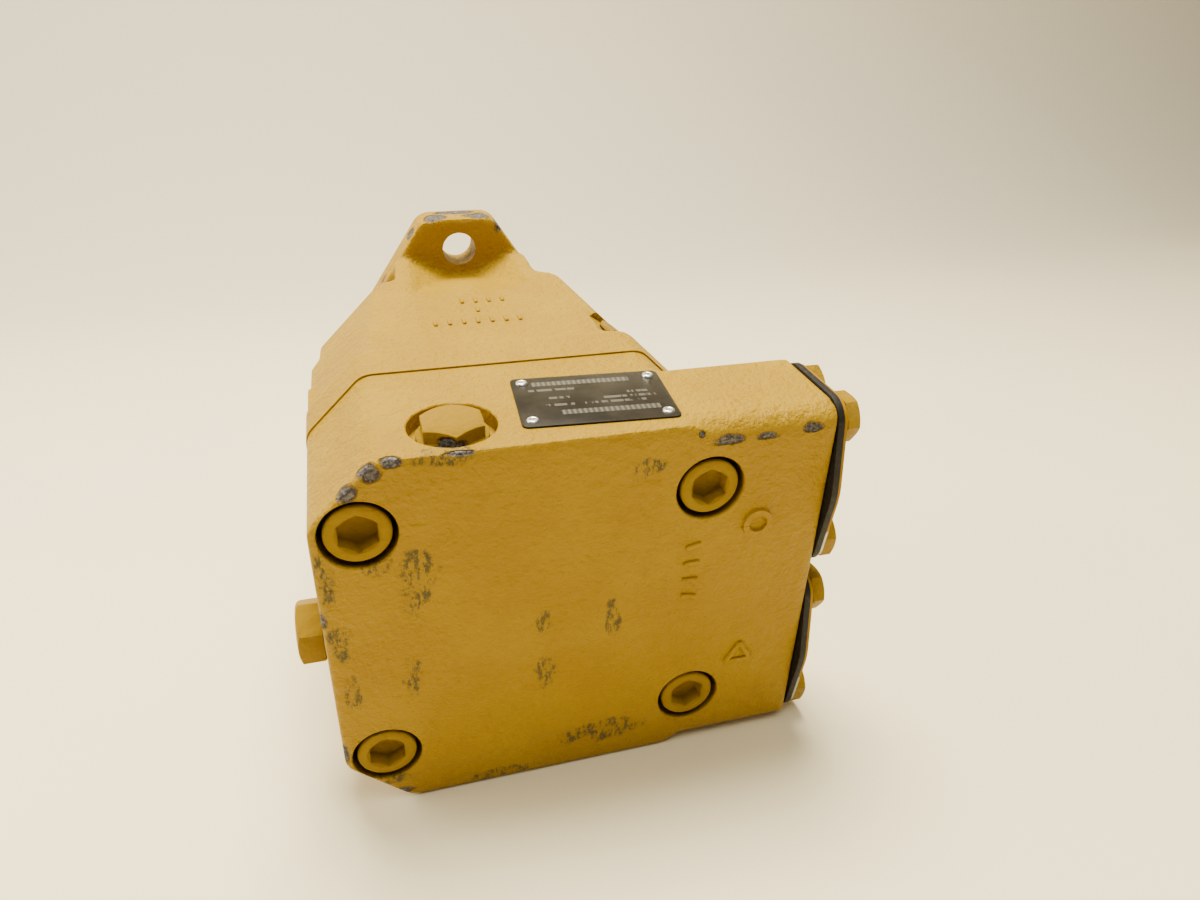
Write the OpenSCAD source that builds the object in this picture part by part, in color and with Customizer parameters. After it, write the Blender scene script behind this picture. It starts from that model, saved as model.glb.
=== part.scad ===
// Fixed-displacement axial-piston hydraulic motor with a two-bolt mounting flange.
// The shaft axis is Y and the output end points to +Y. The origin is on the shaft axis in the
// flange's mounting face. The two bolt lugs stand along Z and the oil ports face +X.

/* [Case] */
// Length from the rear face to the mounting face
case_length = 222; // [216:1:230]
// Thickness of the rear port plate
plate_depth = 68; // [68:1:70]
// Half width of the case
case_x = 83; // [82:0.5:86]
// Half height of the case
case_z = 84; // [83:0.5:86]
// Size of the chamfers on the case's corners
corner = 24.6; // [24:0.2:26]
// Radius where a chamfer meets a side
corner_r = 9; // [6:0.5:10]
// Depth of the housing's rear flange
rear_flange_depth = 23; // [20:1:26]
// How far the housing sides are set in from its rear flange
side_inset = 1; // [1:0.5:2]
// Thickness of the gasket between housing and port plate
gasket_t = 0.5; // [0.4:0.1:1]

/* [Mounting flange] */
// Pilot diameter
pilot_d = 127; // [126.9:0.05:127]
// Pilot length
pilot_len = 12.7; // [9:0.1:12.7]
// Distance between the two bolt holes
lug_spacing = 181; // [180:0.5:182]
// Bolt hole diameter
lug_hole_d = 17.5; // [17:0.1:18]
// Flange thickness
flange_t = 17.5; // [16:0.5:20]
// Corner radius of the lugs
lug_corner_r = 10; // [8:0.5:11]
// Radius of the flange's round middle
flange_r = 75; // [74:0.5:78]

/* [Port block] */
// How far the port face stands from the shaft axis
port_face_x = 118; // [116:1:122]
// Depth of the port block along the shaft axis
port_block_depth = 50; // [48:1:54]
// Half the distance between the two ports
port_z = 43.8; // [43:0.1:45]
// How far the pair of ports sits above the shaft axis
port_shift = 1.5; // [0:0.5:2]
// Distance of the ports from the rear face
port_inset = 25.5; // [25:0.5:27]
// Port bore diameter
port_d = 25.4; // [24:0.1:26]
// Long spacing of the cover bolts
port_bolt_z = 57.15; // [57.15:0.01:57.2]
// Short spacing of the cover bolts
port_bolt_y = 27.76; // [27.7:0.01:27.8]

/* [Rotating group] */
// Number of pistons
piston_count = 9; // [9:1:9]
// Radius of the piston circle in the cylinder block
piston_circle_r = 43; // [42.5:0.1:43.5]
// Tilt of the swash plate in degrees
tilt = 14; // [12:0.5:14]
// Piston radius
piston_r = 11; // [10.5:0.1:11]
// Inner radius of the cylinder sleeves
sleeve_ri = 11.8; // [11.8:0.1:12]
// Radius of the ball on each piston
ball_r = 8; // [7.5:0.1:8]

/* [Shaft] */
// How far the shaft stands out of the mounting face
shaft_out = 56; // [50:1:60]
// Number of teeth on the output spline
spline_teeth = 14; // [12:1:17]
// Outer radius of the output spline
spline_ro = 15.6; // [15.4:0.1:16]
// Root radius of the output spline
spline_ri = 13.4; // [13:0.1:13.6]

/* [Hidden] */
$fn = 96;
eps = 0.05;
joint_gap = 0.1;
rear_y = -case_length;
plate_y = rear_y + plate_depth;
housing_y = plate_y + gasket_t;
port_y = rear_y + port_inset;

// Clamping screws of the port plate
screw_x = 66;
screw_z = 55.4;
screw_head_r = 12;
screw_head_h = 16;
screw_r = 8;
counterbore_r = 14;
counterbore_depth = 16.8;
screw_reach = 27;

// Plugs
hex22_r = 22 / sqrt(3);
hex24_r = 24 / sqrt(3);
top_plug_x = -29;
top_plug_y = rear_y + 21;
spotface_r = 16.5;
spotface_depth = 6.5;
side_plug_y = rear_y + 34;
side_plug_z = -12;
drain_x = 60;
drain_y = rear_y + 105;
drain_z = 73;
drain_tilt = 41;

// Tapered bearings, shaft bores and seal
front_cup = [-38, -16];
rear_cup = [-202, -182];
bearing_slope = 12;
front_mean_r = 27.6;
rear_mean_r = 22.6;
front_roller_r = 3.5;
rear_roller_r = 2.9;
roller_count = 16;
front_wall_y = -44;
cavity_r = 64;
seal_r = 28;

// Rotating group along the shaft axis
pivot_y = -78.3;
valve_t = 5;
block_y = plate_y + valve_t + eps;
block_front_y = -99;
block_r = 60;
sleeve_ro = 13.3;
ball_circle_r = 2 * piston_circle_r / (1 + cos(tilt));
piston_len = 51.5;
running_face = 10;
guide_ball_r = 26;
hub_ri = 20;
hub_y = -121;

cast_yellow = [0.87, 0.70, 0.26];
steel = [0.62, 0.62, 0.60];
dark_steel = [0.35, 0.35, 0.36];
bronze = [0.72, 0.52, 0.28];
black = [0.10, 0.10, 0.10];

// ---------- helpers ----------

// A cylinder along Y from y0 to y1
module rod_y(y0, y1, r) {
    translate([0, y0, 0]) rotate([-90, 0, 0]) cylinder(h = y1 - y0, r = r);
}

// A cylinder along X from x0 to x1
module rod_x(x0, x1, r) {
    translate([x0, 0, 0]) rotate([0, 90, 0]) cylinder(h = x1 - x0, r = r);
}

// A flat XZ outline carried along Y
module prism_y(y0, y1) {
    translate([0, y1, 0]) rotate([90, 0, 0]) linear_extrude(y1 - y0) children();
}

// A flat YZ outline carried along X
module prism_x(x0, x1) {
    translate([x0, 0, 0]) rotate([90, 0, 90]) linear_extrude(x1 - x0) children();
}

// An outline of radius against y, turned about the shaft axis
module turned_y() {
    rotate([-90, 0, 0]) rotate_extrude() children();
}

// A washer, tube or ring about the shaft axis
module ring_y(y0, y1, ri, ro) {
    turned_y() translate([ri, y0]) square([ro - ri, y1 - y0]);
}

// A hexagonal prism along Z with a corner towards +X
module hex_z(h, r) {
    cylinder(h = h, r = r, $fn = 6);
}

// The case outline: a rectangle with chamfered corners, rounded where each chamfer ends
module case_outline(hx, hz) {
    t = corner_r * tan(22.5);
    bend = [[0, corner + t], [corner_r * (1 - cos(22.5)), corner + t - corner_r * sin(22.5)],
            [t * sin(45), corner - t * cos(45)]];
    quarter = [for (b = bend) [hx - b.x, hz - b.y], for (k = [2:-1:0]) [hx - bend[k].y, hz - bend[k].x]];
    polygon([for (q = [[1, 1], [-1, 1], [-1, -1], [1, -1]]) for (k = [0:5])
             let (p = quarter[q.x * q.y > 0 ? k : 5 - k]) [q.x * p.x, q.y * p.y]]);
}

// A rectangle with corner radius ra at its low end and rb at its high end
module round_rect(x0, x1, z0, z1, ra, rb) {
    translate([x0 + ra, z0]) square([x1 - x0 - ra - rb, z1 - z0]);
    translate([x0, z0 + ra]) square([ra + eps, z1 - z0 - 2 * ra]);
    translate([x1 - rb - eps, z0 + rb]) square([rb + eps, z1 - z0 - 2 * rb]);
    for (z = [z0 + ra, z1 - ra]) translate([x0 + ra, z]) circle(ra);
    for (z = [z0 + rb, z1 - rb]) translate([x1 - rb, z]) circle(rb);
}

// The kidney slots of the port plate and valve plate
module kidney_slots(half_angle, width) {
    for (s = [-1, 1]) {
        intersection() {
            difference() {
                circle(piston_circle_r + width / 2);
                circle(piston_circle_r - width / 2);
            }
            polygon([[0, 0], 80 * [sin(half_angle), s * cos(half_angle)], [0, 110 * s],
                     80 * [-sin(half_angle), s * cos(half_angle)]]);
        }
        for (t = [-1, 1])
            translate(piston_circle_r * [t * sin(half_angle), s * cos(half_angle)])
                circle(width / 2 - 0.2);
    }
}

// A round outline with straight-sided teeth
module spline_outline(ri, ro, teeth, width) {
    circle(ri);
    for (i = [0:teeth - 1]) rotate(360 * i / teeth)
        polygon([[ri - 1, -width * 0.62], [ro, -width * 0.38], [ro, width * 0.38], [ri - 1, width * 0.62]]);
}

// Places its children in the swash plate's own frame, with the pivot on the shaft axis as origin
module swash_frame() {
    translate([0, pivot_y, 0]) rotate([0, 0, tilt]) children();
}

// Centre of piston ball i in the part's frame
function ball_centre(i) = let (a = 360 * i / piston_count, u = ball_circle_r * cos(a))
    [u * cos(tilt), pivot_y + u * sin(tilt), ball_circle_r * sin(a)];

// ---------- case ----------

// Tangent of the flange's side, from the round middle to the lug's corner
lug_cx = 13.5;
lug_top = 106.5;
lug_cz = lug_top - lug_corner_r;
lug_tangent = atan2(lug_cz, lug_cx) - acos((flange_r - lug_corner_r) / norm([lug_cx, lug_cz]));

module flange_outline() {
    side = [cos(lug_tangent), sin(lug_tangent)];
    t1 = (flange_r - 0.2) * side;
    t2 = [lug_cx, lug_cz] + (lug_corner_r - 0.2) * side;
    circle(flange_r);
    for (s = [-1, 1]) scale([1, s]) {
        polygon([[0, 0], t1, t2, [lug_cx, lug_top], [-lug_cx, lug_top], [-t2.x, t2.y], [-t1.x, t1.y]]);
        for (x = [-lug_cx, lug_cx]) translate([x, lug_cz]) circle(lug_corner_r);
    }
}

// The housing's body: octagonal, with chamfers that widen towards the flange, then a narrow neck
module housing_body() {
    side_x = case_x - side_inset;
    top_z = case_z - 0.5;
    side = [[side_x, housing_y], [side_x, -68], [78, -65.5], [77, -47], [45.5, -47], [36.6, -42],
            [35, -flange_t]];
    difference() {
        intersection() {
            union() {
                prism_y(housing_y, -flange_t) square([2 * side_x, 2 * top_z], center = true);
                lug_ribs();
            }
            linear_extrude(220, center = true)
                polygon([for (s = [1, -1]) for (k = [0:6]) let (p = side[s > 0 ? k : 6 - k]) [s * p.x, p.y]]);
        }
        for (a = [0, 1]) mirror([a, 0, 0]) for (b = [0, 1]) mirror([0, 0, b]) body_chamfer();
    }
    prism_y(housing_y, -101) square([2 * case_x, 112], center = true);
    turned_y() polygon([[0, housing_y], [78, housing_y], [78, -76], [73.5, -60], [73, -flange_t],
                        [0, -flange_t]]);
}

// What is cut away outside one chamfer of the housing's body
module body_chamfer() {
    translate([69.5, -130.5, 69.5]) rotate([0, 45, 0]) rotate([-4.45, 0, 0])
        translate([-50, -60, 0]) cube([100, 180, 40]);
}

// Ribs that carry the housing's top and bottom faces out to the lugs
module lug_ribs() {
    for (s = [0, 1]) mirror([0, 0, s]) prism_x(-44, 44)
        polygon([[-58, 60], [-58, 83.5], [-54, 84], [-flange_t, 86.5], [-flange_t, 60]]);
}

// Clearance behind a lug for the bolt's head and a wrench: a floor that falls towards the lug,
// with its two front corners turned up
module wrench_pocket() {
    pocket_y = -65;
    pocket_x = 32;
    intersection() {
        translate([-pocket_x, -80, 60]) cube([2 * pocket_x, 80 - flange_t, 60]);
        translate([0, pocket_y, case_z]) rotate([-10.5, 0, 0]) translate([-60, -60, 0]) cube([120, 120, 60]);
        for (s = [0, 1]) mirror([s, 0, 0])
            translate([pocket_x, pocket_y, case_z]) rotate([5.28, -28.4, 0])
                translate([-80, -60, 0]) cube([120, 120, 60]);
    }
}

module housing() {
    color(cast_yellow) difference() {
        union() {
            prism_y(housing_y, housing_y + rear_flange_depth) case_outline(case_x + 0.3, case_z + 0.7);
            housing_body();
            prism_y(-flange_t, 0) flange_outline();
            rod_y(-eps, pilot_len, pilot_d / 2);
        }
        for (s = [0, 1]) mirror([0, 0, s]) wrench_pocket();
        rod_y(housing_y - 1, front_wall_y, cavity_r);
        rod_y(front_wall_y - 1, -14, 36);
        rod_y(-20, 20, 22);
        rod_y(-4, 20, seal_r);
        ring_y(8.3, 10.3, seal_r - 1, seal_r + 1.5);
        for (z = [-lug_spacing / 2, lug_spacing / 2])
            translate([0, 0, z]) rod_y(-flange_t - 1, 1, lug_hole_d / 2);
        for (x = [-screw_x, screw_x]) for (z = [-screw_z, screw_z])
            translate([x, 0, z]) rod_y(housing_y - 1, housing_y + screw_reach, screw_r);
        translate([-48, 0, 0]) rod_y(front_wall_y - 1, front_wall_y + 8, 4);
        drain_place() {
            cylinder(h = 20, r = 18);
            translate([0, 0, -40]) cylinder(h = 42, r = 9);
        }
    }
}

// The oblique flank of the housing that carries the drain port
module drain_place() {
    translate([drain_x, drain_y, drain_z]) rotate([0, drain_tilt, 0]) children();
}

// The block that stands out to the port face
module port_block() {
    intersection() {
        prism_x(40, port_face_x)
            round_rect(rear_y, rear_y + port_block_depth, -case_z, case_z, 9, 3);
        translate([0, 0, -case_z - 1]) linear_extrude(2 * case_z + 2)
            round_rect(30, port_face_x, rear_y, rear_y + port_block_depth + 1, 4, 4);
    }
}

// Oil passages from the two port faces to the valve plate
module oil_passages() {
    for (s = [-1, 1]) {
        translate([0, port_y, port_height(s)]) rod_x(82, port_face_x + 1, port_d / 2);
        translate([0, port_y + 4.5, s * 29]) rod_x(34, 97, 11);
    }
    prism_y(plate_y - 42, plate_y + 1) kidney_slots(52, 12);
}

module port_plate() {
    color(cast_yellow) difference() {
        union() {
            prism_y(rear_y, plate_y) case_outline(case_x, case_z);
            port_block();
        }
        oil_passages();
        rod_y(rear_cup[0], plate_y + 1, 31);
        for (x = [-screw_x, screw_x]) for (z = [-screw_z, screw_z]) translate([x, 0, z]) {
            rod_y(rear_y - 1, plate_y + 1, screw_r + 0.75);
            rod_y(rear_y - 1, rear_y + counterbore_depth, counterbore_r);
        }
        translate([top_plug_x, top_plug_y, 0]) {
            translate([0, 0, case_z - spotface_depth]) cylinder(h = 20, r = spotface_r);
            translate([0, 0, case_z - 22]) cylinder(h = 20, r = 9);
        }
        translate([0, side_plug_y, side_plug_z]) rod_x(-case_x - 1, -case_x + 18, 9);
        for (p = port_bolt_places()) translate(p) rod_x(port_face_x - 22, port_face_x + 1, 6.05);
        translate([0, 0, -53]) rod_y(plate_y - 6, plate_y + 1, 2.5);
    }
}

// Height of port A (s = -1) or port B (s = 1)
function port_height(s) = s * port_z + port_shift;

// Centres of the eight cover bolts in the port face
function port_bolt_places(sides = [-1, 1]) =
    [for (s = sides) for (dy = [-0.5, 0.5]) for (dz = [-0.5, 0.5])
        [0, port_y + dy * port_bolt_y, port_height(s) + dz * port_bolt_z]];

module housing_gasket() {
    color(black) difference() {
        prism_y(plate_y, housing_y) case_outline(case_x - 0.6, case_z - 0.6);
        rod_y(plate_y - 1, housing_y + 1, cavity_r + 0.5);
        for (x = [-screw_x, screw_x]) for (z = [-screw_z, screw_z])
            translate([x, 0, z]) rod_y(plate_y - 1, housing_y + 1, screw_r + 0.5);
    }
}

module port_plate_screws() {
    head_y = rear_y + counterbore_depth;
    color(cast_yellow) for (x = [-screw_x, screw_x]) for (z = [-screw_z, screw_z]) translate([x, 0, z])
        difference() {
            union() {
                rod_y(head_y - screw_head_h, head_y, screw_head_r);
                rod_y(head_y - eps, housing_y + screw_reach - 4, screw_r);
            }
            translate([0, head_y - screw_head_h - 1, 0]) rotate([-90, 30, 0]) hex_z(9, 14 / sqrt(3));
        }
}

// A hex-head plug with a round collar, standing on z = 0
module hex_plug(hex_r, head_h, collar_r, collar_t, stem_r, stem_len) {
    cylinder(h = collar_t, r = collar_r);
    translate([0, 0, collar_t - eps]) intersection() {
        hex_z(head_h - collar_t + eps, hex_r);
        cylinder(h = head_h - collar_t + eps, r1 = hex_r + 3, r2 = hex_r * 0.93);
    }
    translate([0, 0, -stem_len]) cylinder(h = stem_len + eps, r = stem_r);
}

module top_plug() {
    color(cast_yellow) translate([top_plug_x, top_plug_y, case_z - spotface_depth + 1])
        rotate([0, 0, -90]) hex_plug(hex22_r, 8, 13.5, 2.5, 8.9, 13);
}

module top_plug_o_ring() {
    color(black) translate([top_plug_x, top_plug_y, case_z - spotface_depth])
        difference() {
            cylinder(h = 1, r = 12.5);
            translate([0, 0, -1]) cylinder(h = 3, r = 8.95);
        }
}

module side_plug() {
    color(cast_yellow) translate([-case_x - 0.8, side_plug_y, side_plug_z])
        rotate([0, -90, 0]) hex_plug(hex24_r, 11.5, 12.5, 1.5, 8.9, 14);
}

module side_plug_o_ring() {
    color(black) translate([-case_x, side_plug_y, side_plug_z]) rotate([0, -90, 0])
        difference() {
            cylinder(h = 0.8, r = 12);
            translate([0, 0, -1]) cylinder(h = 3, r = 8.95);
        }
}

module drain_plug() {
    color(cast_yellow) drain_place() difference() {
        union() {
            translate([0, 0, 0.8]) cylinder(h = 2, r = 12);
            translate([0, 0, -13]) cylinder(h = 14, r = 8.9);
        }
        translate([0, 0, -5]) hex_z(10, 10 / sqrt(3));
    }
}

module drain_plug_o_ring() {
    color(black) drain_place() difference() {
        cylinder(h = 0.8, r = 11.5);
        translate([0, 0, -1]) cylinder(h = 3, r = 8.95);
    }
}

// ---------- nameplate ----------

plate_at = [26.3, rear_y + 29.4, case_z];
plate_turn = -3.9;

module nameplate() {
    color(black) translate(plate_at) rotate([0, 0, plate_turn]) linear_extrude(0.8)
        translate([-30, 0]) round_rect(0, 60, -20, 20, 2.5, 2.5);
}

module nameplate_rivets() {
    color(steel) translate(plate_at) rotate([0, 0, plate_turn])
        for (x = [-25.7, 25.7]) for (y = [-15.5, 15.5]) translate([x, y, 0.8]) {
            difference() {
                cylinder(h = 0.9, r1 = 2.4, r2 = 1.9);
                translate([0, 0, 0.3]) cylinder(h = 1, r = 1.1);
            }
        }
}

// ---------- port covers ----------

gasket_x = 2.8;
cover_x = 1.6;
cover_head_h = 6.4;
cover_hex_r = 18 / sqrt(3);

// Outline of a cover about its port: bulged in the middle, narrow at the bolts
module cover_outline(grow) {
    hull() {
        circle(28 + grow, $fn = 48);
        for (y = [-0.5, 0.5]) for (z = [-0.5, 0.5])
            translate([y * port_bolt_y, z * port_bolt_z]) circle(10 + grow, $fn = 32);
    }
}

module cover_layer(s, x0, x1, grow, hole_r, open_r) {
    difference() {
        translate([0, port_y, port_height(s)]) prism_x(x0, x1) cover_outline(grow);
        for (p = port_bolt_places([s])) translate(p) rod_x(x0 - 1, x1 + 1, hole_r);
        if (open_r > 0) translate([0, port_y, port_height(s)]) rod_x(x0 - 1, x1 + 1, open_r);
    }
}

module cover_bolts(s) {
    head_x = port_face_x + gasket_x + cover_x;
    for (p = port_bolt_places([s])) translate(p) {
        translate([head_x, 0, 0]) rotate([0, 90, 0]) hex_z(cover_head_h, cover_hex_r);
        rod_x(port_face_x - 18, head_x + eps, 6);
    }
}

module port_gasket_a() { color(black) cover_layer(-1, port_face_x, port_face_x + gasket_x, 0.7, 6.4, 13); }
module port_gasket_b() { color(black) cover_layer(1, port_face_x, port_face_x + gasket_x, 0.7, 6.4, 13); }
module port_cover_a() {
    color(cast_yellow) cover_layer(-1, port_face_x + gasket_x, port_face_x + gasket_x + cover_x, 0, 6.4, 0);
}
module port_cover_b() {
    color(cast_yellow) cover_layer(1, port_face_x + gasket_x, port_face_x + gasket_x + cover_x, 0, 6.4, 0);
}
module port_bolts_a() { color(cast_yellow) cover_bolts(-1); }
module port_bolts_b() { color(cast_yellow) cover_bolts(1); }

// ---------- fixed parts inside the case ----------

module swash_plate() {
    color(steel) difference() {
        rod_y(-92, front_wall_y, 63.5);
        swash_frame() translate([-100, running_face - 100, -100]) cube([200, 100, 200]);
        rod_y(-100, 0, 26.5);
        translate([-48, 0, 0]) rod_y(front_wall_y - 10, front_wall_y + 1, 4);
    }
}

module swash_dowel() {
    color(dark_steel) translate([-48, 0, 0]) rod_y(front_wall_y - 9.5, front_wall_y + 7.5, 4);
}

module valve_plate() {
    color(bronze) difference() {
        rod_y(plate_y, plate_y + valve_t, 56);
        rod_y(plate_y - 1, plate_y + valve_t + 1, 31.5);
        prism_y(plate_y - 1, plate_y + valve_t + 1) kidney_slots(50, 11);
        translate([0, 0, -53]) rod_y(plate_y - 1, plate_y + valve_t + 1, 2.5);
    }
}

module valve_plate_pin() {
    color(dark_steel) translate([0, 0, -53]) rod_y(plate_y - 5.5, plate_y + valve_t - 0.5, 2.5);
}

// Radius of the roller circle at y, for a bearing that narrows towards dir
function roller_line(y, span, mean_r, dir) =
    mean_r - dir * (y - (span[0] + span[1]) / 2) * tan(bearing_slope);

// Outer race: a ring whose bore follows the rollers' outer side
module bearing_cup(span, ro, mean_r, roller_r, dir) {
    off = (roller_r + joint_gap) / cos(bearing_slope);
    turned_y() polygon([[roller_line(span[0], span, mean_r, dir) + off, span[0]], [ro, span[0]],
                        [ro, span[1]], [roller_line(span[1], span, mean_r, dir) + off, span[1]]]);
}

// Inner race: a ring whose outside follows the rollers' inner side
module bearing_cone(span, ri, mean_r, roller_r, dir) {
    off = (roller_r + joint_gap) / cos(bearing_slope);
    turned_y() polygon([[ri, span[0]], [roller_line(span[0], span, mean_r, dir) - off, span[0]],
                        [roller_line(span[1], span, mean_r, dir) - off, span[1]], [ri, span[1]]]);
}

module rollers(span, mean_r, roller_r, dir, grow) {
    len = (span[1] - span[0]) * 0.68 + 2 * grow;
    for (i = [0:roller_count - 1]) rotate([0, 360 * i / roller_count, 0])
        translate([mean_r, (span[0] + span[1]) / 2, 0]) rotate([0, 0, dir * bearing_slope])
            rotate([90, 0, 0]) cylinder(h = len, r = roller_r + grow, center = true, $fn = 24);
}

module bearing_cage(span, mean_r, roller_r, dir) {
    t = 0.9;
    y0 = span[0] + 1;
    y1 = span[1] - 1;
    difference() {
        turned_y() polygon([[roller_line(y0, span, mean_r, dir) - t, y0],
                            [roller_line(y0, span, mean_r, dir) + t, y0],
                            [roller_line(y1, span, mean_r, dir) + t, y1],
                            [roller_line(y1, span, mean_r, dir) - t, y1]]);
        rollers(span, mean_r, roller_r, dir, 0.05);
    }
}

module front_bearing_cup() { color(steel) bearing_cup(front_cup, 36, front_mean_r, front_roller_r, 1); }
module rear_bearing_cup() { color(steel) bearing_cup(rear_cup, 31, rear_mean_r, rear_roller_r, -1); }

module shaft_seal() {
    color(black) turned_y() polygon([[19.1, 0], [20, -2], [25, -2.5], [25, -4], [seal_r, -4],
                                     [seal_r, 8], [26, 8], [26, 5], [20.5, 4]]);
}

module seal_snap_ring() {
    color(dark_steel) difference() {
        ring_y(8.4, 10.2, 25.5, seal_r + 1.3);
        translate([-3, 8, -40]) cube([6, 3, 20]);
    }
}

// ---------- shaft and what turns with it ----------

module shaft() {
    color(steel) difference() {
        union() {
            rod_y(-201.5, -178, 15);
            rod_y(-178.1, hub_y - 6, 18);
            prism_y(hub_y - 6.1, block_front_y + 8) spline_outline(18, hub_ri - 0.1, 20, 3);
            rod_y(block_front_y + 7.9, -47, hub_ri);
            rod_y(-47.1, -38, 23);
            rod_y(-38.1, -14, hub_ri);
            rod_y(-14.1, 13, 19);
            rod_y(12.9, 22, 12.9);
            prism_y(21.9, shaft_out - 1.5) spline_outline(spline_ri, spline_ro, spline_teeth, 3.6);
            rod_y(shaft_out - 1.6, shaft_out, 12.9);
        }
        rod_y(shaft_out - 22, shaft_out + 1, 4);
    }
}

module front_bearing_cone() {
    color(dark_steel) bearing_cone(front_cup, hub_ri, front_mean_r, front_roller_r, 1);
}

module rear_bearing_cone() {
    color(dark_steel) bearing_cone(rear_cup, 15, rear_mean_r, rear_roller_r, -1);
}

module cylinder_block() {
    color(steel) difference() {
        rod_y(block_y, block_front_y, block_r);
        rod_y(block_y - 1, hub_y, 27);
        prism_y(hub_y - 1, block_front_y + 1) spline_outline(18.1, hub_ri, 20, 3.2);
        ring_y(block_y + 0.8, block_y + 2.7, 26, 28.5);
        for (i = [0:piston_count - 1]) rotate([0, -360 * i / piston_count, 0])
            translate([piston_circle_r, 0, 0]) {
                rod_y(block_y + 8, block_front_y + 1, sleeve_ro);
                rod_y(block_y - 1, block_y + 9, 5.5);
            }
        for (i = [0:2]) rotate([0, 120 * i + 30, 0]) translate([23.2, 0, 0])
            rod_y(hub_y - 1, block_front_y + 1, 2);
    }
}

module cylinder_sleeves() {
    color(bronze) for (i = [0:piston_count - 1]) rotate([0, -360 * i / piston_count, 0])
        translate([piston_circle_r, 0, 0]) ring_y(block_y + 8, block_front_y, sleeve_ri, sleeve_ro);
}

module guide_ball() {
    color(dark_steel) turned_y() intersection() {
        translate([0, pivot_y]) circle(guide_ball_r);
        translate([hub_ri + 0.05, block_front_y + 2.5]) square([10, 34]);
    }
}

module spring_washers() {
    color(steel) {
        ring_y(block_y + 2.7, block_y + 4.7, 20.5, 26.8);
        ring_y(hub_y - 4.5, hub_y - 2.5, 20.5, 26.8);
    }
}

module push_pins() {
    color(steel) for (i = [0:2]) rotate([0, 120 * i + 30, 0]) translate([23.2, 0, 0])
        rod_y(hub_y - 2.5, block_front_y + 2.5, 1.95);
}

module block_snap_ring() {
    color(dark_steel) difference() {
        ring_y(block_y + 0.9, block_y + 2.6, 24, 28.3);
        translate([-4, block_y, 20]) cube([8, 4, 20]);
    }
}

// A helix of round wire between the two spring washers
spring_r = 23.6;
wire_r = 1.6;
spring_turns = 4;
spring_y0 = block_y + 4.7 + wire_r;
spring_y1 = hub_y - 4.5 - wire_r;
spring_steps = 24 * spring_turns;
wire_sides = 8;

function spring_point(k, j) = let (a = 360 * k / 24, b = 360 * j / wire_sides,
    r = spring_r + wire_r * cos(b))
    [r * cos(a), spring_y0 + (spring_y1 - spring_y0) * k / spring_steps + wire_r * sin(b), r * sin(a)];

module block_spring() {
    points = [for (k = [0:spring_steps]) for (j = [0:wire_sides - 1]) spring_point(k, j)];
    walls = [for (k = [0:spring_steps - 1]) for (j = [0:wire_sides - 1]) let (n = (j + 1) % wire_sides)
        [k * wire_sides + j, (k + 1) * wire_sides + j, (k + 1) * wire_sides + n, k * wire_sides + n]];
    ends = [[for (j = [0:wire_sides - 1]) j],
            [for (j = [wire_sides - 1:-1:0]) spring_steps * wire_sides + j]];
    color(steel) polyhedron(points, concat(walls, ends), convexity = 8);
}

// ---------- bearing cages ----------

module front_bearing_cage() { color(bronze) bearing_cage(front_cup, front_mean_r, front_roller_r, 1); }
module rear_bearing_cage() { color(bronze) bearing_cage(rear_cup, rear_mean_r, rear_roller_r, -1); }
module front_bearing_rollers() { color(steel) rollers(front_cup, front_mean_r, front_roller_r, 1, 0); }
module rear_bearing_rollers() { color(steel) rollers(rear_cup, rear_mean_r, rear_roller_r, -1, 0); }

// ---------- retaining plate, slippers and pistons ----------

slipper_foot_r = 13.9;
slipper_neck_r = 9.5;

module retaining_plate() {
    color(steel) swash_frame() difference() {
        rod_y(2, 6, 58);
        sphere(guide_ball_r + 0.3);
        for (i = [0:piston_count - 1]) rotate([0, -360 * i / piston_count, 0])
            translate([ball_circle_r, 0, 0]) rod_y(0, 8, slipper_neck_r + 0.3);
    }
}

module slippers() {
    color(bronze) swash_frame() for (i = [0:piston_count - 1]) rotate([0, -360 * i / piston_count, 0])
        translate([ball_circle_r, 0, 0]) turned_y() difference() {
            union() {
                translate([0, 6]) square([slipper_foot_r, running_face - eps - 6]);
                translate([0, -4]) square([slipper_neck_r, 10.1]);
            }
            circle(ball_r + joint_gap);
            translate([-1, 0]) square([2.2, running_face]);
            translate([-1, running_face - 0.8]) square([9, 2]);
        }
}

module piston(i) {
    color(steel) translate(ball_centre(i)) difference() {
        union() {
            sphere(ball_r);
            rod_y(-16, -5, 5);
            turned_y() polygon([[0, -piston_len], [piston_r - 1, -piston_len], [piston_r, 1 - piston_len],
                                [piston_r, -17], [7, -14], [0, -14]]);
        }
        rod_y(-piston_len - 1, -24, 7);
        rod_y(-25, 9, 1.2);
    }
}

module piston_1() { piston(0); }
module piston_2() { piston(1); }
module piston_3() { piston(2); }
module piston_4() { piston(3); }
module piston_5() { piston(4); }
module piston_6() { piston(5); }
module piston_7() { piston(6); }
module piston_8() { piston(7); }
module piston_9() { piston(8); }

housing();
port_plate();
housing_gasket();
port_plate_screws();
top_plug();
top_plug_o_ring();
side_plug();
side_plug_o_ring();
drain_plug();
drain_plug_o_ring();
nameplate();
nameplate_rivets();
port_cover_a();
port_cover_b();
port_gasket_a();
port_gasket_b();
port_bolts_a();
port_bolts_b();
swash_plate();
swash_dowel();
valve_plate();
valve_plate_pin();
front_bearing_cup();
rear_bearing_cup();
shaft_seal();
seal_snap_ring();
shaft();
front_bearing_cone();
rear_bearing_cone();
cylinder_block();
cylinder_sleeves();
guide_ball();
block_spring();
spring_washers();
push_pins();
block_snap_ring();
front_bearing_cage();
front_bearing_rollers();
rear_bearing_cage();
rear_bearing_rollers();
retaining_plate();
slippers();
piston_1();
piston_2();
piston_3();
piston_4();
piston_5();
piston_6();
piston_7();
piston_8();
piston_9();
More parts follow.
